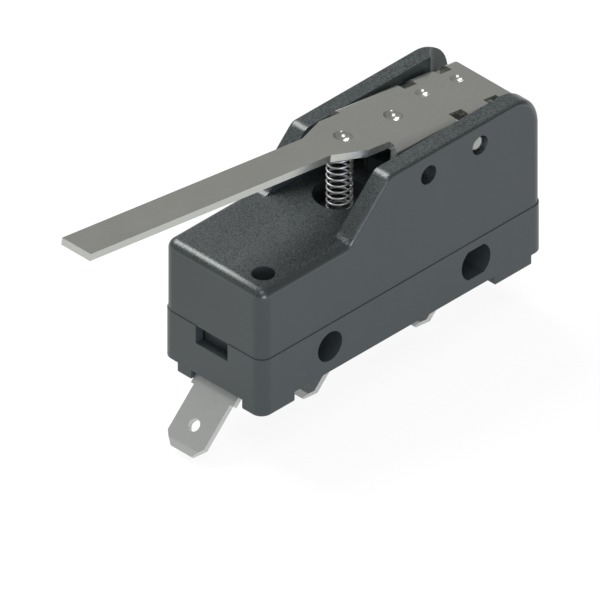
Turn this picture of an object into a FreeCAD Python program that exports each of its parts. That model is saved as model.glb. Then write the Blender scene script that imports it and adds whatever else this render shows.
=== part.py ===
"""Lever micro switch: a snap-action switch in a two-part moulded case.

Frame: the origin is the centre of the two mounting holes at mid width. +X runs along
the case towards the hinge pin, +Y is across the case, +Z is up towards the lever.
Every size is in millimetres or degrees.
"""
import FreeCAD, Part
import math
import os
import re
import Sketcher

V = FreeCAD.Vector

# Driving sizes
SIZES = {
    # case
    "case_length": 49.2,
    "case_width": 17.4,
    "case_corner": 1.65,
    "axis_height": 3.77,
    "joint_height": 3.3,
    "deck_height": 13.5,
    "cover_inset": 0.1,
    "side_wall": 1.6,
    "end_wall": 1.35,
    "floor_wall": 1.4,
    "deck_wall": 1.5,
    "deck_length": 15.6,
    "deck_edge": 1.3,
    "slope_angle": 45,
    "slope_round": 1.5,
    "rear_round": 5.25,
    "top_edge": 0.5,
    "nose_round": 1.5,
    "channel_width": 12.0,
    "pocket_length": 5.1,
    "pocket_skin": 0.8,
    "pocket_round": 2.5,
    "base_edge": 0.4,
    # mounting holes, feet and snap hooks
    "mount_pitch": 25.4,
    "mount_bore": 4.2,
    "slot_wide": 5.0,
    "slot_tall": 4.2,
    "tube_wall": 1.0,
    "foot_drop": 1.52,
    "foot_length": 5.75,
    "foot_width": 3.4,
    "rear_foot_length": 6.3,
    "rear_foot_inset": 2.3,
    "narrow_foot_width": 2.35,
    "narrow_foot_setback": 2.8,
    "foot_corner": 1.1,
    "window_width": 5.55,
    "window_sill": 0.72,
    "hook_width": 5.2,
    "hook_sheet": 1.0,
    "hook_root": 2.5,
    "hook_reach": 0.9,
    "hook_catch": 0.4,
    "fit_gap": 0.05,
    # lever and its pin
    "hinge_place": 13.5,
    "hinge_rise": 3.65,
    "wall_over_pin": 3.05,
    "spare_place": 4.55,
    "pin_hole": 2.65,
    "pin_fit": 0.02,
    "pin_recess": 0.35,
    "pin_dome": 0.4,
    "lever_angle": 8.14,
    "lever_sheet": 1.0,
    "lever_rise": 2.51,
    "lever_width": 11.6,
    "bend_round": 1.2,
    "bend_inside": 0.2,
    "arm_reach": 62.6,
    "arm_width": 5.0,
    "taper_start": 20.4,
    "taper_end": 15.6,
    "plate_width": 8.6,
    "flange_reach": 12.0,
    "flange_depth": 2.3,
    "ear_front": 3.0,
    "ear_gap": 0.32,
    "lever_tail": 9.15,
    "relief_length": 2.2,
    "relief_depth": 1.0,
    "relief_inside": 7.6,
    "spare_pitch": 6.1,
    "dimple_width": 2.5,
    "dimple_depth": 0.95,
    "bulge_width": 2.8,
    "bulge_depth": 0.8,
    "spigot_width": 1.8,
    "spigot_depth": 0.6,
    "press_place": 6.95,
    "spigot_place": 15.76,
    "mark_width": 1.8,
    "mark_depth": 0.5,
    "mark_offset": 1.85,
    # plunger, its guide and the return spring
    "plunger_stem": 3.5,
    "plunger_fit": 0.05,
    "plunger_collar": 5.0,
    "collar_sheet": 0.8,
    "plunger_tip": 2.4,
    "plunger_travel": 1.19,
    "guide_width": 7.2,
    "guide_room": 1.58,
    "recess_width": 6.8,
    "cup_room": 2.55,
    "recess_wall": 1.2,
    "spring_width": 3.5,
    "spring_wire": 0.28,
    "spring_pitch": 0.93,
    "spring_seat": 0.02,
    "spring_shift": 0.45,
    "deck_hole": 3.0,
    "deck_hole_depth": 4.0,
    "deck_hole_place": 3.5,
    "deck_hole_offset": 5.4,
    "deck_hole_wall": 1.0,
    # terminals
    "tab_width": 6.3,
    "tab_sheet": 0.8,
    "tab_length": 10.26,
    "tab_corner": 1.35,
    "tab_slant": 1.55,
    "tab_bevel": 0.88,
    "tab_bevel_depth": 0.35,
    "tab_hole": 1.7,
    "tab_hole_place": 3.6,
    "tab_angle": 45,
    "tab_offset": 0.25,
    "shoulder_width": 7.36,
    "shoulder_length": 2.3,
    "leg_width": 5.0,
    "slot_gap": 0.1,
    "first_exit": 1.43,
    "common_setback": 1.725,
    "common_lift": 0.45,
    "middle_exit": 3.3,
    "middle_drop": 1.0,
    "leg_rise": 1.57,
    "common_rise": 2.77,
    # contacts and blade
    "blade_height": 7.0,
    "blade_sheet": 0.25,
    "blade_width": 5.0,
    "window_wide": 2.8,
    "window_start": 8.5,
    "window_end": 3.4,
    "contact_reach": 4.1,
    "contact_width": 3.4,
    "contact_head": 0.7,
    "contact_stem": 1.6,
    "contact_gap": 0.85,
    "contact_touch": 0.03,
    "fixed_head": 0.9,
    "upset_width": 2.4,
    "upset_sheet": 0.3,
    "rivet_fit": 0.02,
    "strip_end": 2.2,
    "bow_width": 2.4,
    "bow_sheet": 0.3,
    "bow_start": 9.6,
    "bow_foot": 2.5,
    "bow_end": 1.95,
    "bow_drop": 1.65,
    "bow_round": 10.0,
    "bracket_sheet": 0.6,
    "bracket_place": 1.7,
    "bracket_foot": 4.3,
    "bracket_top": 6.95,
    "bracket_notch": 0.3,
    "notch_low": 5.05,
    "notch_high": 6.45,
    "stake_width": 1.2,
    "stake_place": 4.4,
    "clamp_length": 3.4,
    "clamp_sheet": 0.6,
    "rivet_width": 1.2,
    "rivet_spread": 2.6,
    "rivet_head": 2.0,
    "rivet_head_sheet": 0.5,
    "blade_hole_gap": 0.1,
}

# Places worked out from the driving sizes, as formulas of them
FORMULAS = {
    "cover_end": "(case_length / 2 - cover_inset)",
    "cover_side": "(case_width / 2 - cover_inset)",
    "inner_end": "(case_length / 2 - end_wall)",
    "inner_side": "(case_width / 2 - side_wall)",
    "floor_top": "(floor_wall - axis_height)",
    "hinge_height": "(deck_height + hinge_rise)",
    "wall_height": "(hinge_height + wall_over_pin)",
    "pocket_start": "(cover_end - pocket_length)",
    "pocket_side": "(cover_side - pocket_skin)",
    "slope_foot": "(deck_length - cover_end)",
    "slope_crest": "(slope_foot + (wall_height - deck_height) / tan(slope_angle * 1 deg))",
    "mount_place": "(mount_pitch / 2)",
    "hook_face": "(inner_end - fit_gap)",
    "hook_bottom": "(-hook_reach)",
    "lever_sine": "sin(lever_angle * 1 deg)",
    "lever_cosine": "cos(lever_angle * 1 deg)",
    "under_plate": "(lever_rise - lever_sheet)",
    "ear_drop": "((hinge_rise - ear_gap - (lever_tail - lever_sheet) * lever_sine)"
                " / lever_cosine)",
    "dimple_ball": "((dimple_width * dimple_width / 4 + dimple_depth * dimple_depth)"
                   " / (2 * dimple_depth))",
    "bulge_ball": "((bulge_width * bulge_width / 4 + bulge_depth * bulge_depth)"
                  " / (2 * bulge_depth))",
    "spigot_ball": "((spigot_width * spigot_width / 4 + spigot_depth * spigot_depth)"
                   " / (2 * spigot_depth))",
    "press_x": "(hinge_place - press_place * lever_cosine"
               " + (under_plate - bulge_depth + bulge_ball) * lever_sine)",
    "press_z": "(hinge_height + press_place * lever_sine"
               " + (under_plate - bulge_depth + bulge_ball) * lever_cosine - bulge_ball)",
    "spigot_x": "(hinge_place - spigot_place * lever_cosine + under_plate * lever_sine)",
    "spigot_z": "(hinge_height + spigot_place * lever_sine + under_plate * lever_cosine)",
    "spring_x": "(spigot_x - spring_shift)",
    "guide_top": "(press_z - plunger_travel - guide_room)",
    "deck_under": "(deck_height - deck_wall)",
    "deck_hole_x": "(deck_hole_place - cover_end)",
    "blade_top": "(blade_height + blade_sheet)",
    "recess_floor": "(blade_top + cup_room + recess_wall)",
    "closed_under": "(blade_top + contact_head + contact_touch + fixed_head)",
    "open_top": "(blade_height - contact_head - contact_gap - fixed_head)",
    "first_exit_x": "(first_exit - case_length / 2)",
    "contact_x": "(first_exit_x + leg_rise + contact_reach)",
    "slot_tube_end": "((mount_pitch + slot_wide) / 2 + tube_wall)",
    "common_leg_x": "((slot_tube_end + inner_end) / 2 - common_setback)",
    "common_exit_x": "(common_leg_x - common_rise)",
    "blade_hinge_x": "(common_leg_x + (tab_sheet + clamp_length) / 2)",
    "blade_drop": "((contact_gap - 2 * contact_touch) * (blade_hinge_x - press_x)"
                  " / (blade_hinge_x - contact_x))",
    "plunger_foot": "(blade_top + plunger_travel - blade_drop + 2 * fit_gap)",
    "tab_sine": "sin(tab_angle * 1 deg)",
    "tab_cosine": "cos(tab_angle * 1 deg)",
}


def formula(text):
    """The sheet's own form of a formula written with plain names."""
    def swap(match):
        word = match.group(0)
        if word in FORMULAS:
            return formula(FORMULAS[word])
        return "Sizes." + word if word in SIZES else word
    return re.sub(r"[a-z][a-z_]*", swap, str(text))


doc = FreeCAD.newDocument("LeverMicroSwitch")
sheet = doc.addObject("Spreadsheet::Sheet", "Sizes")
for row, (alias, value) in enumerate(SIZES.items(), start=1):
    sheet.set(f"A{row}", alias)
    sheet.set(f"B{row}", str(value))
    sheet.setAlias(f"B{row}", alias)
doc.recompute()


def number(text):
    """The present value of a formula."""
    value = sheet.evalExpression(formula(text))
    return float(getattr(value, "Value", value))


def bind(thing, **formulas):
    """Ties properties to the sheet. A double underscore stands for a dot."""
    for name, text in formulas.items():
        thing.setExpression(name.replace("__", "."), formula(text))
    return thing


# Solids from primitives

def add(kind, name, **formulas):
    return bind(doc.addObject(kind, name), **formulas)


def place(thing, x="0", y="0", z="0", axis=None, angle="0"):
    """Sets a piece's place, tied to the sheet, after a turn about an axis."""
    if axis:
        turn = FreeCAD.Rotation(axis, number(angle))
        thing.Placement = FreeCAD.Placement(V(0, 0, 0), turn)
    return bind(thing, Placement__Base__x=x, Placement__Base__y=y, Placement__Base__z=z)


def box(name, low, high):
    """A box from its lowest to its highest corner, each three formulas."""
    sides = [f"({b}) - ({a})" for a, b in zip(low, high)]
    piece = add("Part::Box", name, Length=sides[0], Width=sides[1], Height=sides[2])
    return place(piece, *low)


def post(name, radius, low, high, x, y="0"):
    """An upright cylinder between two heights."""
    piece = add("Part::Cylinder", name, Radius=radius, Height=f"({high}) - ({low})")
    return place(piece, x, y, low)


def cross_rod(name, radius, length, x, z):
    """A cylinder across the case, centred on its width."""
    piece = add("Part::Cylinder", name, Radius=radius, Height=length)
    return place(piece, x, f"({length}) / 2", z, axis=V(1, 0, 0), angle="90")


def joined(name, pieces):
    result = doc.addObject("Part::MultiFuse", name)
    result.Shapes = pieces
    return result


def cut(name, base, tools):
    result = doc.addObject("Part::Cut", name)
    result.Base = base
    result.Tool = tools[0] if len(tools) == 1 else joined(name + "_tools", tools)
    return result


def common(name, first, second):
    result = doc.addObject("Part::MultiCommon", name)
    result.Shapes = [first, second]
    return result


def mirrored(name, source, normal):
    result = doc.addObject("Part::Mirroring", name)
    result.Source = source
    result.Normal = normal
    return result


def near(a, b):
    return abs(a - b) < 1e-4


def edge_ends(edge):
    return edge.valueAt(edge.FirstParameter), edge.valueAt(edge.LastParameter)


def rounded(name, base, rule):
    """Rounds the edges for which rule(first end, last end) gives a radius or a pair."""
    doc.recompute()
    picked = []
    for index, edge in enumerate(base.Shape.Edges, start=1):
        radius = rule(*edge_ends(edge))
        if radius:
            pair = radius if isinstance(radius, tuple) else (radius, radius)
            picked.append((index, *pair))
    if not picked:
        raise RuntimeError(name + " has no edges to round")
    result = doc.addObject("Part::Fillet", name)
    result.Base = base
    result.Edges = picked
    doc.recompute()
    return result


# Solids from sketches

def pin_point(sketch, geometry, end, x, y):
    """Fixes one point of a sketch at a place given by two formulas."""
    for kind, text in (("DistanceX", x), ("DistanceY", y)):
        index = sketch.addConstraint(Sketcher.Constraint(kind, -1, 1, geometry, end, number(text)))
        sketch.setExpression(f"Constraints[{index}]", formula(text))


def outline(sketch, corners):
    """Draws a closed outline. A corner is (x, y), or (x, y, radius) where an arc leads on.

    A positive radius bulges to the left of the way the outline runs, a negative to the right.
    """
    points = [V(number(c[0]), number(c[1]), 0) for c in corners]
    first = sketch.GeometryCount
    starts = []
    for k, corner in enumerate(corners):
        start, end = points[k], points[(k + 1) % len(points)]
        radius = number(corner[2]) if len(corner) == 3 else 0
        starts.append(2 if radius > 0 else 1)
        if not radius:
            sketch.addGeometry(Part.LineSegment(start, end))
            continue
        chord = end - start
        side = V(-chord.y, chord.x, 0).normalize() * math.copysign(1, radius)
        sagitta = abs(radius) - math.sqrt(radius ** 2 - chord.Length ** 2 / 4)
        middle = (start + end) / 2 + side * sagitta
        low, high = (end, start) if radius > 0 else (start, end)
        sketch.addGeometry(Part.Arc(low, middle, high))
    for k, corner in enumerate(corners):
        following = (k + 1) % len(corners)
        sketch.addConstraint(Sketcher.Constraint(
            "Coincident", first + k, 3 - starts[k], first + following, starts[following]))
        pin_point(sketch, first + k, starts[k], corner[0], corner[1])
        if len(corner) == 3:
            index = sketch.addConstraint(
                Sketcher.Constraint("Radius", first + k, abs(number(corner[2]))))
            sketch.setExpression(f"Constraints[{index}]", f"abs({formula(corner[2])})")


def ring(sketch, x, y, radius):
    geometry = sketch.addGeometry(Part.Circle(V(number(x), number(y), 0), V(0, 0, 1), number(radius)))
    pin_point(sketch, geometry, 3, x, y)
    index = sketch.addConstraint(Sketcher.Constraint("Radius", geometry, number(radius)))
    sketch.setExpression(f"Constraints[{index}]", formula(radius))


def body(name):
    result = doc.addObject("PartDesign::Body", name)
    result.Label = name
    return result


def sketch_on(owner, role, shift="0", depth="0"):
    """A sketch on one of the body's own planes, shifted along it or away from it."""
    plane = next(f for f in owner.Origin.OriginFeatures if f.Role == role)
    result = owner.newObject("Sketcher::SketchObject", "Sketch")
    result.AttachmentSupport = [(plane, "")]
    result.MapMode = "FlatFace"
    return bind(result, AttachmentOffset__Base__x=shift, AttachmentOffset__Base__z=depth)


def feature(owner, kind, sketch, grows, **settings):
    """Adds a feature to a body and makes sure that it adds or removes material."""
    before = owner.Shape.Volume if owner.Tip and not owner.Shape.isNull() else 0
    result = owner.newObject(kind, kind.split("::")[1])
    result.Profile = sketch
    length = settings.pop("length", None)
    for name, value in settings.items():
        setattr(result, name, value)
    if length:
        bind(result, Length=length)
    sketch.Visibility = False
    doc.recompute()
    change = owner.Shape.Volume - before
    if (change > 1e-6) != grows:
        raise RuntimeError(f"{owner.Label}: {kind} changes the volume by {change}")
    return result


def pad(owner, sketch, length, **settings):
    return feature(owner, "PartDesign::Pad", sketch, True, length=length, **settings)


def pocket(owner, sketch, length, **settings):
    return feature(owner, "PartDesign::Pocket", sketch, False, length=length, **settings)


def revolve(owner, sketch, grows=True):
    kind = "PartDesign::Revolution" if grows else "PartDesign::Groove"
    return feature(owner, kind, sketch, grows, ReferenceAxis=(sketch, ["V_Axis"]), Angle=360)


def dress(owner, kind, rule, **formulas):
    """Rounds or bevels the edges of a body's last feature that fit the rule."""
    base = owner.Tip
    picked = [f"Edge{k}" for k, edge in enumerate(base.Shape.Edges, start=1) if rule(*edge_ends(edge))]
    if not picked:
        raise RuntimeError(owner.Label + " has no edges to dress")
    result = owner.newObject("PartDesign::" + kind, kind)
    result.Base = (base, picked)
    bind(result, **formulas)
    doc.recompute()
    return result


# Blocks from sketches, without a body

def profile_block(name, corners, width, y="0"):
    """A side profile (x along the case, z up), extruded evenly to both sides of y."""
    profile = doc.addObject("Sketcher::SketchObject", name + "_profile")
    profile.Placement = FreeCAD.Placement(V(0, 0, 0), FreeCAD.Rotation(V(1, 0, 0), 90))
    bind(profile, Placement__Base__y=y)
    outline(profile, corners)
    return extruded(name, profile, width, Symmetric=True)


def plan_block(name, corners, low, high):
    """A plan outline extruded between two heights."""
    plan = doc.addObject("Sketcher::SketchObject", name + "_plan")
    bind(plan, Placement__Base__z=low)
    outline(plan, corners)
    return extruded(name, plan, f"({high}) - ({low})")


def extruded(name, sketch, length, **settings):
    block = doc.addObject("Part::Extrusion", name)
    block.Base = sketch
    block.DirMode = "Normal"
    block.Solid = True
    for key, value in settings.items():
        setattr(block, key, value)
    return bind(block, LengthFwd=length)


# Case

def cover_outside():
    """The cover's outer form, with all of its rounded edges but no hollows."""
    block = profile_block("cover_block", [
        ("-cover_end", "joint_height"), ("cover_end", "joint_height"),
        ("cover_end", "wall_height"), ("slope_crest", "wall_height"),
        ("slope_foot", "deck_height"), ("-cover_end", "deck_height"),
    ], "2 * cover_side")
    end, joint, deck = number("cover_end"), number("joint_height"), number("deck_height")
    foot, crest = number("slope_foot"), number("slope_crest")
    bend, rear = number("slope_round"), number("rear_round")

    def profile_corner(a, b):
        if near(a.y, b.y) or not near(a.x, b.x) or a.z < deck - 1:
            return None
        if near(a.x, end):
            return rear
        return bend if near(a.x, foot) or near(a.x, crest) else None

    shaped = rounded("cover_shaped", block, profile_corner)
    deck_edge, top_edge, corner = number("deck_edge"), number("top_edge"), number("case_corner")

    def radius_at(point):
        if point.x < foot - bend / 4:
            return deck_edge
        return corner if near(point.x, end) else top_edge

    def outer_edge(a, b):
        if near(a.z, joint) and near(b.z, joint):
            return None
        if not near(a.y, b.y):
            return deck_edge if near(a.x, -end) and near(b.x, -end) and near(a.z, deck) else None
        return corner if near(a.x, b.x) else (radius_at(a), radius_at(b))

    return rounded("cover_smooth", shaped, outer_edge)


def upper_housing():
    """Cover: a deck, a slope, and two walls with a round rear end."""
    half, flare = "channel_width / 2", "cover_end - nose_round"
    channel = plan_block("channel", [
        ("-cover_end", f"-{half}"), (flare, f"-{half}", "nose_round"),
        ("cover_end", f"-{half} - nose_round"), ("cover_end + 1", f"-{half} - nose_round"),
        ("cover_end + 1", f"{half} + nose_round"), ("cover_end", f"{half} + nose_round", "nose_round"),
        (flare, half), ("-cover_end", half),
    ], "deck_height", "wall_height + 1")
    inside = box("cover_inside", ("-inner_end", "-inner_side", "joint_height - 1"),
                 ("inner_end", "inner_side", "deck_under"))
    pocket_block = box("pocket_block", ("pocket_start", "0", "deck_height"),
                       ("cover_end + 1", "pocket_side", "wall_height + 1"))
    start, side, corner = number("pocket_start"), number("pocket_side"), number("pocket_round")
    rear_pocket = rounded("rear_pocket", pocket_block, lambda a, b: corner if near(a.x, start)
                          and near(b.x, start) and near(a.y, side) and near(b.y, side) else None)
    shell = cut("cover_shell", cover_outside(), [
        channel, rear_pocket, inside,
        cross_rod("pin_bore", "pin_hole / 2", "case_width + 2", "hinge_place", "hinge_height"),
        cross_rod("spare_bore", "pin_hole / 2", "case_width + 2", "spare_place", "hinge_height"),
    ])

    hook = profile_block("hook", [
        ("hook_face - hook_sheet", "joint_height + hook_root"),
        ("hook_face - hook_sheet", "hook_bottom"), ("hook_face", "hook_bottom"),
        ("hook_face + hook_catch", "-hook_catch / 2"), ("hook_face + hook_catch", "0"),
        ("hook_face", "0"), ("hook_face", "joint_height"), ("inner_end + fit_gap", "joint_height"),
        ("inner_end + fit_gap", "joint_height + hook_root"),
    ], "hook_width")
    guide = post("guide", "guide_width / 2", "deck_under", "guide_top", "press_x")
    cup = post("spring_cup", "recess_width / 2 + recess_wall", "recess_floor - recess_wall",
               "deck_under + deck_wall / 2", "spring_x")
    peg_cup = post("deck_hole_cup", "deck_hole / 2 + deck_hole_wall",
                   "deck_height - deck_hole_depth - deck_hole_wall", "deck_under + deck_wall / 2",
                   "deck_hole_x", "-deck_hole_offset")
    room = box("cup_room", ("-inner_end - fit_gap", "-inner_side - fit_gap", "joint_height"),
               ("inner_end", "inner_side", "deck_height"))
    solid = joined("cover_solid", [
        shell, hook, mirrored("second_hook", hook, V(1, 0, 0)), guide, cup,
        common("deck_hole_cup_trimmed", peg_cup, room),
    ])
    return cut("upper_housing", solid, [
        post("plunger_bore", "plunger_stem / 2 + plunger_fit", "deck_under - 1",
             "guide_top + 1", "press_x"),
        post("spring_recess", "recess_width / 2", "recess_floor", "deck_height + 1", "spring_x"),
        post("deck_hole_bore", "deck_hole / 2", "deck_height - deck_hole_depth", "deck_height + 1",
             "deck_hole_x", "-deck_hole_offset"),
    ])


def foot(name, x, y, x_out, y_out):
    """Room for a foot, reaching past the case, with round upright edges."""
    block = box(name, (x, y, "-axis_height - foot_drop - 1"), (x_out, y_out, "-axis_height + 1"))
    corner = number("foot_corner")
    return rounded(name + "_round", block, lambda a, b: None if near(a.z, b.z) else corner)


def double_d(name, grow, length):
    """The wide mounting hole: a cylinder with two flats, or its outer tube."""
    round_part = cross_rod(name + "_round", f"slot_wide / 2 + {grow}", length, "mount_place", "0")
    flats = box(name + "_flats", ("mount_place - slot_wide", f"-({length}) / 2", f"-slot_tall / 2 - {grow}"),
                ("mount_place + slot_wide", f"({length}) / 2", f"slot_tall / 2 + {grow}"))
    return common(name, round_part, flats)


def passage(name, exit_x):
    """The slanting slot of a terminal through the floor."""
    deep, run = "(floor_wall + 1)", "(floor_wall + 1) / tan(tab_angle * 1 deg)"
    near_x = f"({exit_x} - slot_gap / tab_sine)"
    far_x = f"({exit_x} + (tab_sheet + slot_gap) / tab_sine)"
    return profile_block(name, [
        (f"{near_x} - 1 / tan(tab_angle * 1 deg)", "-axis_height - 1"),
        (f"{far_x} - 1 / tan(tab_angle * 1 deg)", "-axis_height - 1"),
        (f"{far_x} + {run}", f"-axis_height + {deep}"), (f"{near_x} + {run}", f"-axis_height + {deep}"),
    ], "leg_width + 2 * slot_gap", "-tab_offset")


def lower_housing():
    """Base: a tray on feet, crossed by the two mounting tubes."""
    left, right, front, back = "-case_length / 2", "case_length / 2", "-case_width / 2", "case_width / 2"
    under = "-axis_height - foot_drop"
    block = box("base_block", (left, front, under), (right, back, "joint_height"))
    corner = number("case_corner")
    smooth = rounded("base_corners", block, lambda a, b: None if near(a.z, b.z) else corner)

    layer = box("under_layer", (f"{left} - 1", f"{front} - 1", f"{under} - 1"),
                (f"{right} + 1", f"{back} + 1", "-axis_height"))
    rear_x, rear_end = f"{right} - rear_foot_inset - rear_foot_length", f"{right} - rear_foot_inset"
    between = cut("between_feet", layer, [
        foot("foot_front_left", f"{left} - 3", f"{front} - 3", f"{left} + foot_length", f"{front} + foot_width"),
        foot("foot_front_right", rear_x, f"{front} - 3", rear_end, f"{front} + foot_width"),
        foot("foot_back_left", f"{left} - 3", f"{back} - narrow_foot_setback - narrow_foot_width",
             f"{left} + foot_length", f"{back} - narrow_foot_setback"),
        foot("foot_back_right", rear_x, f"{back} - foot_width", rear_end, f"{back} + 3"),
    ])
    footed = cut("base_footed", smooth, [between])
    edge, sole = number("base_edge"), number(under)
    softened = rounded("base_softened", footed,
                       lambda a, b: edge if near(a.z, sole) and near(b.z, sole) else None)

    tray = box("tray", ("-inner_end", "-inner_side", "floor_top"), ("inner_end", "inner_side", "joint_height + 1"))
    solid = joined("base_solid", [
        cut("base_hollow", softened, [tray]),
        cross_rod("round_tube", "mount_bore / 2 + tube_wall", "case_width - side_wall", "-mount_place", "0"),
        double_d("wide_tube", "tube_wall", "case_width - side_wall"),
        place(post("stake", "stake_width / 2", "floor_top - fit_gap", "floor_top + 2 * bracket_sheet",
                   "stake_place"), "stake_place", "-tab_offset", "floor_top - fit_gap"),
    ])
    window = box("window", ("inner_end - 1", "-window_width / 2", "window_sill"),
                 ("case_length / 2 + 1", "window_width / 2", "joint_height + 1"))
    catch = box("catch_recess", ("inner_end - 1", "-hook_width / 2 - fit_gap", "hook_bottom - fit_gap"),
                ("hook_face + hook_catch + fit_gap", "hook_width / 2 + fit_gap", "fit_gap"))
    return cut("lower_housing", solid, [
        window, mirrored("second_window", window, V(1, 0, 0)),
        catch, mirrored("second_catch", catch, V(1, 0, 0)),
        cross_rod("round_bore", "mount_bore / 2", "case_width + 2", "-mount_place", "0"),
        double_d("wide_bore", "0", "case_width + 2"),
        passage("first_passage", "first_exit_x"), passage("middle_passage", "-middle_exit"),
        passage("common_passage", "common_exit_x"),
    ])


# Lever

def flange_outline():
    """Side view of one flange: shallow in front, deep round the pin."""
    mid = "under_plate + lever_sheet / 2"
    return [
        ("-flange_reach", mid), ("-flange_reach", "lever_rise - flange_depth"),
        ("-ear_front - ear_drop", "lever_rise - flange_depth"), ("-ear_front", "-ear_drop"),
        ("lever_tail - lever_sheet", "-ear_drop"), ("lever_tail", "-ear_drop + lever_sheet"),
        ("lever_tail", mid),
    ]


def dent(part, x, y, width, depth, ball):
    """A round dent in the lever's top."""
    recess = sketch_on(part, "XZ_Plane", shift=x, depth=f"-({y})")
    outline(recess, [
        ("0", f"lever_rise - {depth}", f"-({ball})"), (f"{width} / 2", "lever_rise"),
        (f"{width} / 2", "lever_rise + 1"), ("0", "lever_rise + 1"),
    ])
    revolve(part, recess, grows=False)


def lever():
    """One stamped plate: a flat arm, a taper and a channel with two drilled flanges.

    It is drawn level with the pin's axis at its own origin, and placed at its rest angle.
    """
    part = body("lever")
    plan = sketch_on(part, "XY_Plane", depth="under_plate")
    half, arm, plate = "lever_width / 2", "arm_width / 2", "plate_width / 2"
    outline(plan, [
        ("-arm_reach", f"-{arm}"), ("-taper_start", f"-{arm}"), ("-taper_end", f"-{plate}"),
        ("-flange_reach", f"-{plate}"), ("-flange_reach", f"-{half}"), ("lever_tail", f"-{half}"),
        ("lever_tail", half), ("-flange_reach", half), ("-flange_reach", plate),
        ("-taper_end", plate), ("-taper_start", arm), ("-arm_reach", arm),
    ])
    pad(part, plan, "lever_sheet")
    for depth in (half, f"lever_sheet - {half}"):
        flange = sketch_on(part, "XZ_Plane", depth=depth)
        outline(flange, flange_outline())
        pad(part, flange, "lever_sheet", Reversed=True)

    side, top, under = number(half), number("lever_rise"), number("under_plate")
    inner, start = side - number("lever_sheet"), number("-flange_reach")
    dress(part, "Fillet", lambda a, b: near(a.z, top) and near(b.z, top) and near(abs(a.y), side)
          and near(a.y, b.y), Radius="bend_round")
    dress(part, "Fillet", lambda a, b: near(a.z, under) and near(b.z, under) and near(abs(a.y), inner)
          and near(a.y, b.y) and min(a.x, b.x) > start - 0.01, Radius="bend_inside")

    relief = sketch_on(part, "XY_Plane", depth="lever_rise - relief_depth")
    for x in ("0", "spare_pitch"):
        for sign in ("", "-"):
            near_y, far_y = f"{sign}relief_inside / 2", f"{sign}(lever_width / 2 + 1)"
            outline(relief, [
                (f"{x} - relief_length / 2", near_y), (f"{x} + relief_length / 2", near_y),
                (f"{x} + relief_length / 2", far_y), (f"{x} - relief_length / 2", far_y),
            ])
    pocket(part, relief, "relief_depth + 1", Reversed=True)

    eyes = sketch_on(part, "XZ_Plane")
    for x in ("0", "spare_pitch"):
        ring(eyes, x, "0", "pin_hole / 2 + pin_fit")
    pocket(part, eyes, "lever_width + 2", Midplane=True)

    for x, kind in (("-press_place", "bulge"), ("-spigot_place", "spigot")):
        bulge = sketch_on(part, "XZ_Plane", shift=x)
        outline(bulge, [
            ("0", f"under_plate - {kind}_depth", f"-{kind}_ball"), (f"{kind}_width / 2", "under_plate"),
            (f"{kind}_width / 2", "under_plate + fit_gap"), ("0", "under_plate + fit_gap"),
        ])
        revolve(part, bulge)
        dent(part, x, "0", "dimple_width", "dimple_depth", "dimple_ball")
    for x in ("0", "spare_pitch"):
        dent(part, x, "mark_offset", "mark_width", "mark_depth",
             "(mark_width * mark_width / 4 + mark_depth * mark_depth) / (2 * mark_depth)")
    return place(part, "hinge_place", "0", "hinge_height", axis=V(0, 1, 0), angle="lever_angle")


# Turned pieces

def turned(name, half_section):
    """A turned piece from half its section, about its own upright axis."""
    part = body(name)
    section = sketch_on(part, "XZ_Plane")
    outline(section, half_section)
    revolve(part, section)
    return part


def hinge_pin():
    length, radius = "(case_width - 2 * pin_recess)", "(pin_hole / 2 - pin_fit)"
    ball = f"({radius} * {radius} + pin_dome * pin_dome) / (2 * pin_dome)"
    part = turned("hinge_pin", [
        ("0", f"-{length} / 2", f"-{ball}"), (radius, f"-{length} / 2 + pin_dome"),
        (radius, f"{length} / 2 - pin_dome", f"-{ball}"), ("0", f"{length} / 2"),
    ])
    return place(part, "hinge_place", "0", "hinge_height", axis=V(1, 0, 0), angle="90")


def plunger():
    """Turned plunger with a round head, a collar that holds it in and a foot."""
    stem, collar, tip = "plunger_stem / 2", "plunger_collar / 2", "plunger_tip / 2"
    shelf, head = "(deck_under - fit_gap)", "(press_z - fit_gap)"
    part = turned("plunger", [
        ("0", "plunger_foot"), (tip, "plunger_foot"), (tip, f"{shelf} - collar_sheet"),
        (collar, f"{shelf} - collar_sheet"), (collar, shelf), (stem, shelf),
        (stem, f"{head} - {stem} / 2"), (f"{stem} / 2", head), ("0", head),
    ])
    return place(part, "press_x")


def return_spring():
    """Coil spring between the recess floor and the lever."""
    coil = "(spring_width - spring_wire) / 2"
    top = "(spigot_z + (spring_shift - spring_width / 2) * lever_sine / lever_cosine - fit_gap)"
    path = add("Part::Helix", "spring_path", Pitch="spring_pitch", Radius=coil,
               Height=f"{top} - recess_floor - spring_wire - spring_seat")
    wire = add("Part::Circle", "spring_wire_section", Radius="spring_wire / 2")
    place(wire, coil, axis=V(1, 0, 0), angle="90")
    spring = doc.addObject("Part::Sweep", "return_spring")
    spring.Sections = [wire]
    spring.Spine = (path, [])
    spring.Solid = True
    spring.Frenet = True
    return place(spring, "spring_x", "0", "recess_floor + spring_wire / 2 + spring_seat")


def rivet(name, x, y, levels, radii):
    """A two-headed rivet: four heights from the bottom, and radii of foot, stem and head."""
    low, grip_low, grip_high, high = levels
    foot_radius, stem, head_radius = radii
    part = turned(name, [
        ("0", low), (foot_radius, low), (foot_radius, grip_low), (stem, grip_low),
        (stem, grip_high), (head_radius, grip_high), (head_radius, high), ("0", high),
    ])
    return place(part, x, y)


# Terminals

def leaning(x, z):
    """A point of the side view, from the tab's exit, as a point of the tab's own frame."""
    return f"({x}) * tab_cosine + ({z}) * tab_sine", f"({z}) * tab_cosine - ({x}) * tab_sine"


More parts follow.
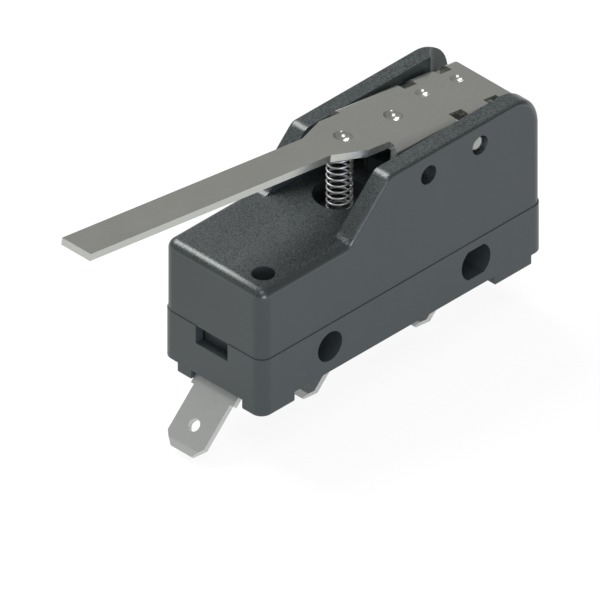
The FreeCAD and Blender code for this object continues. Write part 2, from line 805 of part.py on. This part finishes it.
def terminal(name, exit_x, rise, shelf_top, shelf_end, drop="0"):
    """A stamped tab, a leg through the floor and a level shelf inside the case.

    The tab is drawn level, its upper face at height 0, running out along -X from its exit.
    """
    part = body(name)
    tip, half, wide = f"-(tab_length + {drop})", "tab_width / 2", "shoulder_width / 2"
    step = f"-(shoulder_length + {drop})"
    plan = sketch_on(part, "XY_Plane", depth="-tab_sheet")
    outline(plan, [
        (tip, f"-{half} + tab_corner"), (f"{tip} + tab_slant", f"-{half}"), (step, f"-{half}"),
        (step, f"-{wide}"), ("0", f"-{wide}"), ("0", wide), (step, wide), (step, half),
        (f"{tip} + tab_slant", half), (tip, f"{half} - tab_corner"),
    ])
    pad(part, plan, "tab_sheet")
    eye = sketch_on(part, "XY_Plane")
    ring(eye, f"{tip} + tab_hole_place", "0", "tab_hole / 2")
    pocket(part, eye, "2 * tab_sheet")
    bevel = sketch_on(part, "XZ_Plane")
    outline(bevel, [
        (f"{tip} - tab_bevel", "-2 * tab_bevel_depth"), (f"{tip} + tab_bevel", "0"),
        (f"{tip} - tab_bevel", "0"),
    ])
    pocket(part, bevel, "tab_width", Midplane=True)

    top, reach = f"({shelf_top} + axis_height)", f"({shelf_end} - {exit_x})"
    steep = "tab_sine / tab_cosine"
    upright = ["0", "0"], [rise, f"{rise} * {steep}"]
    heel = [f"{rise} + tab_sheet", f"({rise} + tab_sheet) * {steep} - tab_sheet / tab_cosine"]
    if number(reach) > number(rise):
        bends = [[rise, top], [reach, top], [reach, f"{top} - tab_sheet"],
                 [f"{rise} + tab_sheet", f"{top} - tab_sheet"]]
    else:
        bends = [[rise, f"{top} - tab_sheet"], [reach, f"{top} - tab_sheet"], [reach, top],
                 [f"{rise} + tab_sheet", top]]
    leg = sketch_on(part, "XZ_Plane")
    outline(leg, [leaning(*p) for p in (*upright, *bends, heel)] + [("0", "-tab_sheet")])
    pad(part, leg, "leg_width", Midplane=True)
    return place(part, exit_x, "-tab_offset", "-axis_height", axis=V(0, 1, 0), angle="-tab_angle")


def drilled(name, piece, holes):
    """A piece with upright round holes, each given by x, y and radius."""
    tools = [post(f"{name}_hole_{k}", radius, "floor_top", "deck_height", x, y)
             for k, (x, y, radius) in enumerate(holes)]
    return cut(name, piece, tools)


RIVET_Y = ("-tab_offset - rivet_spread / 2", "-tab_offset + rivet_spread / 2")
RIVET_HOLES = [("blade_hinge_x", y, "rivet_width / 2 + rivet_fit") for y in RIVET_Y]
CONTACT_HOLE = [("contact_x", "-tab_offset", "contact_stem / 2 + rivet_fit")]


def terminals():
    common_tab = terminal("common_tab", "common_exit_x", "common_rise", "(blade_height - fit_gap)",
                          "(common_leg_x + clamp_length)", drop="(-common_lift)")
    closed_tab = terminal("closed_tab", "first_exit_x", "leg_rise", "(closed_under + tab_sheet)",
                          "(contact_x + strip_end)")
    open_tab = terminal("open_tab", "(-middle_exit)", "leg_rise", "open_top",
                        "(contact_x - strip_end)", drop="middle_drop")
    return [
        drilled("common_terminal", common_tab, RIVET_HOLES),
        drilled("closed_terminal", closed_tab, CONTACT_HOLE),
        drilled("open_terminal", open_tab, CONTACT_HOLE),
    ]


# Contacts

def contacts():
    head, upset, stem = "contact_width / 2", "upset_width / 2", "contact_stem / 2"
    at = ("contact_x", "-tab_offset")
    moving = rivet("moving_contact", *at, (
        "blade_height - contact_head", "blade_height", "blade_top", "blade_top + contact_head",
    ), (head, stem, head))
    closed = rivet("closed_contact", *at, (
        "closed_under - fixed_head", "closed_under", "closed_under + tab_sheet",
        "closed_under + tab_sheet + upset_sheet",
    ), (head, stem, upset))
    opened = rivet("open_contact", *at, (
        "open_top - tab_sheet - upset_sheet", "open_top - tab_sheet", "open_top", "open_top + fixed_head",
    ), (upset, stem, head))
    return [moving, closed, opened]


def contact_blade():
    """Leaf with a window for the snap spring, holes for the contact and the rivets."""
    back, front = "blade_width / 2 - tab_offset", "-blade_width / 2 - tab_offset"
    plate = box("blade_plate", ("contact_x - strip_end", front, "blade_height"),
                ("common_leg_x + clamp_length", back, "blade_top"))
    window = box("blade_window", ("-window_start", "-window_wide / 2 - tab_offset", "blade_height - 1"),
                 ("window_end", "window_wide / 2 - tab_offset", "blade_top + 1"))
    loose = [(x, y, f"{radius} + blade_hole_gap") for x, y, radius in RIVET_HOLES]
    return drilled("contact_blade", cut("blade_windowed", plate, [window]), loose + CONTACT_HOLE)


def snap_spring():
    """Bowed leaf from the blade, through its window, to the notch of the bracket."""
    start, end, low = "-bow_start", "bow_end", "blade_top - bow_drop"
    return profile_block("snap_spring", [
        (f"{start} - bow_foot", "blade_top"), (start, "blade_top", "bow_round"),
        (end, low), (end, f"{low} + bow_sheet", "-bow_round"),
        (start, "blade_top + bow_sheet"), (f"{start} - bow_foot", "blade_top + bow_sheet"),
    ], "bow_width", "-tab_offset")


def spring_anchor():
    """Bracket on the floor with a notch for the end of the snap spring."""
    left, foot_top = "bracket_place", "floor_top + bracket_sheet"
    bracket = profile_block("bracket", [
        (left, "floor_top"), (f"{left} + bracket_foot", "floor_top"), (f"{left} + bracket_foot", foot_top),
        (f"{left} + bracket_sheet", foot_top), (f"{left} + bracket_sheet", "bracket_top"),
        (left, "bracket_top"), (left, "notch_high"), (f"{left} + bracket_notch", "notch_high"),
        (f"{left} + bracket_notch", "notch_low"), (left, "notch_low"),
    ], "bow_width", "-tab_offset")
    return drilled("spring_anchor", bracket, [("stake_place", "-tab_offset", "stake_width / 2 + rivet_fit")])


def blade_clamp():
    """Plate that holds the blade down on the common terminal, with its two rivets."""
    plate = box("clamp_plate", ("common_leg_x", "-leg_width / 2 - tab_offset", "blade_top + fit_gap"),
                ("common_leg_x + clamp_length", "leg_width / 2 - tab_offset",
                 "blade_top + fit_gap + clamp_sheet"))
    under, top = "blade_height - fit_gap - tab_sheet", "blade_top + fit_gap + clamp_sheet"
    levels = (f"{under} - rivet_head_sheet", under, top, f"{top} + rivet_head_sheet")
    radii = ("rivet_head / 2", "rivet_width / 2", "rivet_head / 2")
    rivets = [rivet(name, "blade_hinge_x", y, levels, radii)
              for name, y in zip(("front_rivet", "back_rivet"), RIVET_Y)]
    return [drilled("blade_clamp", plate, RIVET_HOLES), *rivets]


def main():
    nodes = [
        lower_housing(), upper_housing(), lever(), hinge_pin(), plunger(), return_spring(),
        *terminals(), *contacts(), contact_blade(), snap_spring(), spring_anchor(), *blade_clamp(),
    ]
    doc.recompute()
    bad = [item.Name for item in doc.Objects if {"Invalid", "Error"} & set(item.State)]
    if bad:
        raise RuntimeError("not built: " + ", ".join(bad))
    os.makedirs("parts", exist_ok=True)
    for node in nodes:
        shape = node.Shape
        if shape.isNull() or not shape.isValid() or len(shape.Solids) != 1:
            raise RuntimeError(node.Label + " is not one valid solid")
        shape.exportStep("parts/" + node.Label + ".step")


main()
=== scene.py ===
"""Looks for the lever micro switch: materials, a finer return spring, floor, light and camera."""
import math

import bmesh
import bpy
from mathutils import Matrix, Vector


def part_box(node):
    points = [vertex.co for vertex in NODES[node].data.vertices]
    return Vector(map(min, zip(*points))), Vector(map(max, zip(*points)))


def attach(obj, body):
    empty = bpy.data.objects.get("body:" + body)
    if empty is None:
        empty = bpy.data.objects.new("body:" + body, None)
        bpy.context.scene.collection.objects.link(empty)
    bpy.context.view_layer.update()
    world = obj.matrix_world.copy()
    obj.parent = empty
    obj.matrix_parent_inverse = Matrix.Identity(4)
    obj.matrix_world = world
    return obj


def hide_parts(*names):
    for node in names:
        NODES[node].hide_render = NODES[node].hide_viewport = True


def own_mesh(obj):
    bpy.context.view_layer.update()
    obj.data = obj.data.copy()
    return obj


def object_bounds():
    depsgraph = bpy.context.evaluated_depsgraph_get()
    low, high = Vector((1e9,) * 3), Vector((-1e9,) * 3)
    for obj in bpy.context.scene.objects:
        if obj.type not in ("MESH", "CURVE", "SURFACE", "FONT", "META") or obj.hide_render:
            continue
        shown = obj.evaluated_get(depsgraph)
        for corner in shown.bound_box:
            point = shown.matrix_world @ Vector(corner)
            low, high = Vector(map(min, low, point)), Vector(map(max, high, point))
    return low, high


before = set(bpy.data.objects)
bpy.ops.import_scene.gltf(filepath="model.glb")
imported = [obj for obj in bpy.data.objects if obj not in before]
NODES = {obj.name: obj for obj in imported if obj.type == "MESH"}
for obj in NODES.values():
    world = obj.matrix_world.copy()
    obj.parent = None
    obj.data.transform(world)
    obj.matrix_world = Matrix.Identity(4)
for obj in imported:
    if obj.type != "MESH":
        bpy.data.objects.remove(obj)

cad_box = [list(corner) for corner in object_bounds()]
MM = 0.001
DECK_TOP = 13.5 * MM

# Noise scales, in cells to a metre
FINE_GRAIN = 6500
COARSE_GRAIN = 3200
MOULDING_CLOUDS = 90
MOULDING_FLOW = 260
ROLLING_LINES = 5200
TUMBLING_DENTS = 2600
SHEET_CLOUDS = 140
DRAWING_LINES = 4200
WIRE_CLOUDS = 700

# Stretches that draw marks out along the axes they name
ALONG_X = (0.04, 1.0, 1.0)
ALONG_Y = (1.0, 0.05, 1.0)
ALONG_Z = (1.0, 1.0, 0.15)
ALONG_YZ = (1.0, 0.35, 0.35)

# Depths of relief
GRAIN_DEPTH = 0.03 * MM
ROLLING_DEPTH = 0.002 * MM
DRAWING_DEPTH = 0.003 * MM

# The return spring: its wire, the rise of an open turn and of a closed one, the closed turns at
# each end, and how finely the mesh is cut
SPRING_WIRE = 0.29 * MM
SPRING_PITCH = 0.93 * MM
CLOSED_PITCH = 1.06 * SPRING_WIRE
CLOSED_TURNS = 1.2
STEPS_PER_TURN = 40
WIRE_SIDES = 12

FLOOR_REACH = 0.4
FLOOR_GAP = 0.02 * MM
PAPER_LEVEL = 0.82
STUDIO_LEVEL = 0.31

# The photograph's isometric view. VIEW_RIGHT and VIEW_UP lead from the frame's origin to the
# middle of the picture.
PICTURE_PIXELS = 600
PIXELS_PER_MM = 8.132
VIEW_AZIMUTH = math.radians(-45)
VIEW_ELEVATION = math.atan(math.sqrt(0.5))
VIEW_RIGHT = -6.523 * MM
VIEW_UP = -3.028 * MM
VIEW_DISTANCE = 0.5

# The Mix node's sockets for colours
MIX_SHARE, MIX_A, MIX_B, MIX_RESULT = 0, 6, 7, 2

INPUT_NAMES = {
    "color": "Base Color", "metallic": "Metallic", "roughness": "Roughness", "normal": "Normal",
    "specular": "Specular IOR Level", "specular_tint": "Specular Tint",
}


# Node helpers

class Shader:
    """A node material with short ways to add and link nodes."""

    def __init__(self, name):
        self.material = bpy.data.materials.new(name)
        self.material.use_nodes = True
        self.tree = self.material.node_tree
        self.bsdf = self.tree.nodes["Principled BSDF"]
        self.place = self.add("ShaderNodeTexCoord").outputs["Object"]

    def add(self, kind, inputs=None, **settings):
        node = self.tree.nodes.new(kind)
        for key, value in settings.items():
            setattr(node, key, value)
        for key, value in (inputs or {}).items():
            self.feed(node.inputs[key], value)
        return node

    def feed(self, socket, value):
        if isinstance(value, bpy.types.NodeSocket):
            self.tree.links.new(value, socket)
        else:
            socket.default_value = value

    def surface(self, **inputs):
        for key, value in inputs.items():
            self.feed(self.bsdf.inputs[INPUT_NAMES[key]], value)
        return self.material

    def noise(self, scale, detail=2.0, roughness=0.5, stretch=(1, 1, 1)):
        place = self.add("ShaderNodeMapping", {"Vector": self.place, "Scale": stretch}).outputs[0]
        return self.add("ShaderNodeTexNoise", {
            "Vector": place, "Scale": scale, "Detail": detail, "Roughness": roughness,
        }).outputs["Fac"]

    def split(self, vector):
        return self.add("ShaderNodeSeparateXYZ", {"Vector": vector}).outputs

    def math(self, operation, a, b=0.0):
        return self.add("ShaderNodeMath", {0: a, 1: b}, operation=operation).outputs[0]

    def times(self, a, b):
        return self.math("MULTIPLY", a, b)

    def plus(self, a, b):
        return self.math("ADD", a, b)

    def span(self, value, low, high, to_low=0.0, to_high=1.0):
        return self.add("ShaderNodeMapRange", {
            "Value": value, "From Min": low, "From Max": high, "To Min": to_low, "To Max": to_high,
        }).outputs[0]

    def mix(self, share, a, b):
        inputs = {MIX_SHARE: share, MIX_A: a, MIX_B: b}
        return self.add("ShaderNodeMix", inputs, data_type="RGBA").outputs[MIX_RESULT]

    def bump(self, height, distance, strength):
        inputs = {"Height": height, "Distance": distance, "Strength": strength}
        return self.add("ShaderNodeBump", inputs).outputs[0]


def shade(level, color=(1.0, 1.0, 1.0)):
    """A colour times a level, with full alpha."""
    return (*[level * part for part in color], 1.0)


# Materials

def painted_edge_shade(sh, facing):
    """Masks the round edges along the sides where shade is painted: broadly at the deck, narrowly on the
    walls above it.
    """
    sideways = sh.math("ABSOLUTE", facing["Y"])
    wall = sh.span(sh.split(sh.place)["Z"], DECK_TOP + 0.2 * MM, DECK_TOP + 0.8 * MM)
    start, full = sh.span(wall, 0, 1, 0.2, 0.45), sh.span(wall, 0, 1, 0.4, 0.7)
    edge = sh.times(sh.span(sideways, start, full), sh.span(sideways, 0.97, 0.85))
    turned = sh.math("MAXIMUM", facing["Z"], facing["X"])
    return sh.times(edge, sh.span(turned, 0.15, 0.35))


def moulded(name, color, pale=1.15, grained=1.0):
    """Dark moulded plastic: fine eroded grain on faces turned up, and painted shade on the round side
    edges.
    """
    sh = Shader(name)
    facing = sh.split(sh.add("ShaderNodeNewGeometry").outputs["Normal"])
    upward = facing["Z"]
    turned_up = sh.span(upward, 0.25, 0.8, 0.12, grained)

    fine, coarse = sh.noise(FINE_GRAIN, 1.0), sh.noise(COARSE_GRAIN, 1.0)
    grain = sh.plus(sh.times(fine, 0.8), sh.times(coarse, 0.2))
    raised = sh.span(grain, 0.45, 0.55)
    specks = sh.times(raised, turned_up)
    pits = sh.times(sh.math("SUBTRACT", 1.0, raised), turned_up)
    cloud = sh.noise(MOULDING_CLOUDS, 3.0, 0.6)
    flow = sh.noise(MOULDING_FLOW, stretch=ALONG_YZ)

    smooth = sh.mix(sh.span(flow, 0.3, 0.7), shade(0.97, color), shade(1.04, color))
    speckled = sh.mix(specks, shade(0.03, color), shade(pale, color))
    tone = sh.mix(sh.times(turned_up, 0.85), smooth, speckled)
    tone = sh.mix(sh.span(cloud, 0.35, 0.75, 0.0, 0.18), tone, shade(1.12, color))
    # Painted shade: the round side edges darken towards 0.4 of the colour
    tone = sh.mix(sh.times(painted_edge_shade(sh, facing), 0.85), tone, shade(0.4, color))

    rough = sh.plus(sh.span(cloud, 0.3, 0.7, 0.3, 0.33), sh.times(specks, 0.03))
    shine = sh.times(sh.span(upward, 0.08, 0.35, 0.4, 1.0), sh.span(pits, 0.0, 1.0, 1.0, 0.8))
    relief = sh.bump(sh.times(grain, turned_up), GRAIN_DEPTH, 0.8)
    return sh.surface(color=tone, roughness=rough, specular=shine,
                      specular_tint=(0.95, 1.0, 0.97, 1.0), normal=relief)


def rolled_sheet(name, color, roughness, metallic=1.0, along=ALONG_X, marks=1.0):
    """Cold-rolled sheet: faint lines along one axis, tumbling dents and cloudy sheen."""
    sh = Shader(name)
    lines = sh.noise(ROLLING_LINES, 3.0, 0.6, along)
    cloud = sh.noise(SHEET_CLOUDS, 3.0, 0.55)
    cells = sh.add("ShaderNodeTexVoronoi", {"Vector": sh.place, "Scale": TUMBLING_DENTS})
    dents = sh.span(cells.outputs["Distance"], 0.0, 0.22, 1.0, 0.0)

    change = 0.03 * marks
    tone = sh.mix(sh.span(lines, 0.3, 0.7), shade(1 - change, color), shade(1 + change, color))
    tone = sh.mix(sh.span(cloud, 0.35, 0.7, 0.0, 0.5), tone, shade(1.06, color))
    tone = sh.mix(sh.times(dents, 0.07), tone, shade(0.7, color))

    sheen = sh.span(cloud, 0.3, 0.7, roughness - 0.03, roughness + 0.04)
    rough = sh.plus(sheen, sh.times(lines, 0.05 * marks))
    relief = sh.bump(sh.plus(lines, sh.times(dents, -0.5)), ROLLING_DEPTH, 0.15 * marks)
    return sh.surface(color=tone, metallic=metallic, roughness=rough, normal=relief)


def drawn_metal(name, color, roughness, metallic=1.0):
    """Wire or turned metal: tight upright lines and small changes of sheen."""
    sh = Shader(name)
    lines = sh.noise(DRAWING_LINES, stretch=ALONG_Z)
    cloud = sh.noise(WIRE_CLOUDS)
    tone = sh.mix(sh.span(lines, 0.3, 0.7), shade(0.9, color), shade(1.08, color))
    rough = sh.span(cloud, 0.3, 0.7, roughness - 0.04, roughness + 0.08)
    relief = sh.bump(lines, DRAWING_DEPTH, 0.3)
    return sh.surface(color=tone, metallic=metallic, roughness=rough, normal=relief)


def paint(material, *names):
    for name in names:
        NODES[name].data.materials.clear()
        NODES[name].data.materials.append(material)


cover_moulding = moulded("cover_moulding", (0.0515, 0.063, 0.0655))
base_moulding = moulded("base_moulding", (0.0535, 0.0655, 0.0685), grained=0.15)
plunger_plastic = moulded("plunger_plastic", (0.03, 0.03, 0.032), pale=0.92)
lever_steel = rolled_sheet("lever_steel", (0.48, 0.49, 0.455), 0.15, metallic=0.8)
tab_metal = rolled_sheet("tab_metal", (0.54, 0.555, 0.53), 0.25, 0.6, ALONG_Y, marks=0.4)
blade_alloy = rolled_sheet("blade_alloy", (0.72, 0.42, 0.24), 0.28)
bracket_metal = rolled_sheet("bracket_metal", (0.72, 0.58, 0.3), 0.3)
contact_metal = drawn_metal("contact_metal", (0.8, 0.79, 0.76), 0.22)
pin_steel = drawn_metal("pin_steel", (0.36, 0.37, 0.36), 0.2)
wire_steel = drawn_metal("spring_wire_steel", (0.72, 0.73, 0.72), 0.36, metallic=0.85)

paint(cover_moulding, "upper_housing")
paint(base_moulding, "lower_housing")
paint(plunger_plastic, "plunger")
paint(lever_steel, "lever")
paint(pin_steel, "hinge_pin")
paint(tab_metal, "common_terminal", "closed_terminal", "open_terminal")
paint(blade_alloy, "contact_blade", "snap_spring")
paint(contact_metal, "moving_contact", "closed_contact", "open_contact")
paint(bracket_metal, "spring_anchor", "blade_clamp", "front_rivet", "back_rivet")


# Return spring with closed ends

def coil_line(centre, low, high, radius):
    """Points along the middle of the wire, from the lowest turn to the highest."""
    rise = high - low - SPRING_WIRE
    turns = (rise - 2 * CLOSED_TURNS * CLOSED_PITCH) / SPRING_PITCH + 2 * CLOSED_TURNS
    steps = int(turns * STEPS_PER_TURN)

    def height(turn):
        if turn < CLOSED_TURNS:
            return CLOSED_PITCH * turn
        if turn > turns - CLOSED_TURNS:
            return rise - CLOSED_PITCH * (turns - turn)
        return CLOSED_PITCH * CLOSED_TURNS + SPRING_PITCH * (turn - CLOSED_TURNS)

    points = []
    for step in range(steps + 1):
        turn = turns * step / steps
        angle = 2 * math.pi * turn
        points.append(Vector((
            centre[0] + radius * math.cos(angle), centre[1] + radius * math.sin(angle),
            low + SPRING_WIRE / 2 + height(turn),
        )))
    return points


def coil_spring(name, centre, low, high, radius):
    """A coil of round wire whose end turns lie close, as a mesh."""
    points = coil_line(centre, low, high, radius)
    last = len(points) - 1
    axis = Vector((centre[0], centre[1], 0))
    mesh = bmesh.new()
    rings = []
    for step, point in enumerate(points):
        ahead = points[min(step + 1, last)] - points[max(step - 1, 0)]
        outward = (Vector((point.x, point.y, 0)) - axis).normalized()
        upward = ahead.cross(outward).normalized()
        rings.append([mesh.verts.new(
            point + (outward * math.cos(a) + upward * math.sin(a)) * SPRING_WIRE / 2
        ) for a in (2 * math.pi * side / WIRE_SIDES for side in range(WIRE_SIDES))])
    for a, b in zip(rings, rings[1:]):
        for side in range(WIRE_SIDES):
            after = (side + 1) % WIRE_SIDES
            mesh.faces.new((a[side], a[after], b[after], b[side])).smooth = True
    mesh.faces.new(rings[0])
    mesh.faces.new(rings[-1])
    bmesh.ops.recalc_face_normals(mesh, faces=mesh.faces)
    data = bpy.data.meshes.new(name)
    mesh.to_mesh(data)
    mesh.free()
    coil = bpy.data.objects.new(name, data)
    bpy.context.scene.collection.objects.link(coil)
    return coil


spring_low, spring_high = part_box("return_spring")
spring_centre = ((spring_low[0] + spring_high[0]) / 2, (spring_low[1] + spring_high[1]) / 2)
spring_radius = (spring_high[1] - spring_low[1] - SPRING_WIRE) / 2
spring = coil_spring("return_spring_wire", spring_centre, spring_low[2], spring_high[2], spring_radius)
spring.data.materials.append(wire_steel)
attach(spring, "case")
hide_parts("return_spring")
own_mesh(spring)


# Floor

def shown_white(sh, strength, share):
    """Mixes a white glow into a surface, for camera and mirror rays alone."""
    rays = sh.add("ShaderNodeLightPath").outputs
    glow = sh.add("ShaderNodeEmission", {"Strength": strength}).outputs[0]
    seen = sh.math("MAXIMUM", rays["Is Camera Ray"], rays["Is Glossy Ray"])
    mixed = sh.add("ShaderNodeMixShader", {0: sh.times(seen, share), 1: sh.bsdf.outputs[0], 2: glow})
    sh.feed(sh.tree.nodes["Material Output"].inputs["Surface"], mixed.outputs[0])


floor_mesh = bpy.data.meshes.new("floor")
reach, ground = FLOOR_REACH, cad_box[0][2] - FLOOR_GAP
floor_mesh.from_pydata(
    [(-reach, -reach, ground), (reach, -reach, ground), (reach, reach, ground), (-reach, reach, ground)],
    [], [(0, 1, 2, 3)])
floor = bpy.data.objects.new("floor", floor_mesh)
bpy.context.scene.collection.objects.link(floor)
floor_paper = Shader("floor_paper")
floor_mesh.materials.append(floor_paper.surface(color=shade(PAPER_LEVEL), roughness=0.9))
shown_white(floor_paper, strength=1.1, share=0.82)


# Light

def softbox(name, direction, distance, size, power, color=(1, 1, 1)):
    """A square lamp that faces the frame's origin."""
    lamp = bpy.data.lights.new(name, "AREA")
    lamp.size = size
    lamp.energy = power
    lamp.color = color
    box = bpy.data.objects.new(name, lamp)
    toward = Vector(direction).normalized()
    box.location = toward * distance
    box.rotation_mode = "QUATERNION"
    box.rotation_quaternion = toward.to_track_quat("Z", "Y")
    bpy.context.scene.collection.objects.link(box)


softbox("rear_key", (0.0, 0.577, 0.816), distance=0.4, size=0.24, power=1.3)
softbox("overhead", (-0.345, -0.345, 0.872), distance=0.4, size=0.2, power=0.33)
softbox("side_fill", (-0.42, -0.9, 0.12), distance=0.5, size=0.2, power=0.85, color=(0.95, 0.98, 1.18))

# The world gives a weak even light, and the camera sees it as white
world = bpy.data.worlds.new("studio")
bpy.context.scene.world = world
world.use_nodes = True
nodes, links = world.node_tree.nodes, world.node_tree.links
even_light = nodes["Background"]
even_light.inputs["Color"].default_value = (1, 1, 1, 1)
even_light.inputs["Strength"].default_value = STUDIO_LEVEL
backdrop = nodes.new("ShaderNodeBackground")
backdrop.inputs["Strength"].default_value = 1.0
rays = nodes.new("ShaderNodeLightPath")
mixed = nodes.new("ShaderNodeMixShader")
links.new(rays.outputs["Is Camera Ray"], mixed.inputs[0])
links.new(even_light.outputs[0], mixed.inputs[1])
links.new(backdrop.outputs[0], mixed.inputs[2])
links.new(mixed.outputs[0], nodes["World Output"].inputs["Surface"])
bpy.context.scene.view_settings.view_transform = "Standard"


# Camera

across, rise = math.cos(VIEW_ELEVATION), math.sin(VIEW_ELEVATION)
back = Vector((math.sin(VIEW_AZIMUTH) * across, -math.cos(VIEW_AZIMUTH) * across, rise))
right = Vector((math.cos(VIEW_AZIMUTH), math.sin(VIEW_AZIMUTH), 0))
up = back.cross(right)
camera = bpy.data.cameras.new("camera")
camera.type = "ORTHO"
camera.ortho_scale = PICTURE_PIXELS / PIXELS_PER_MM * MM
camera.clip_start, camera.clip_end = 0.01, 5
eye = bpy.data.objects.new("camera", camera)
bpy.context.scene.collection.objects.link(eye)
eye.rotation_mode = "QUATERNION"
eye.rotation_quaternion = back.to_track_quat("Z", "Y")
eye.location = right * VIEW_RIGHT + up * VIEW_UP + back * VIEW_DISTANCE
bpy.context.scene.camera = eye
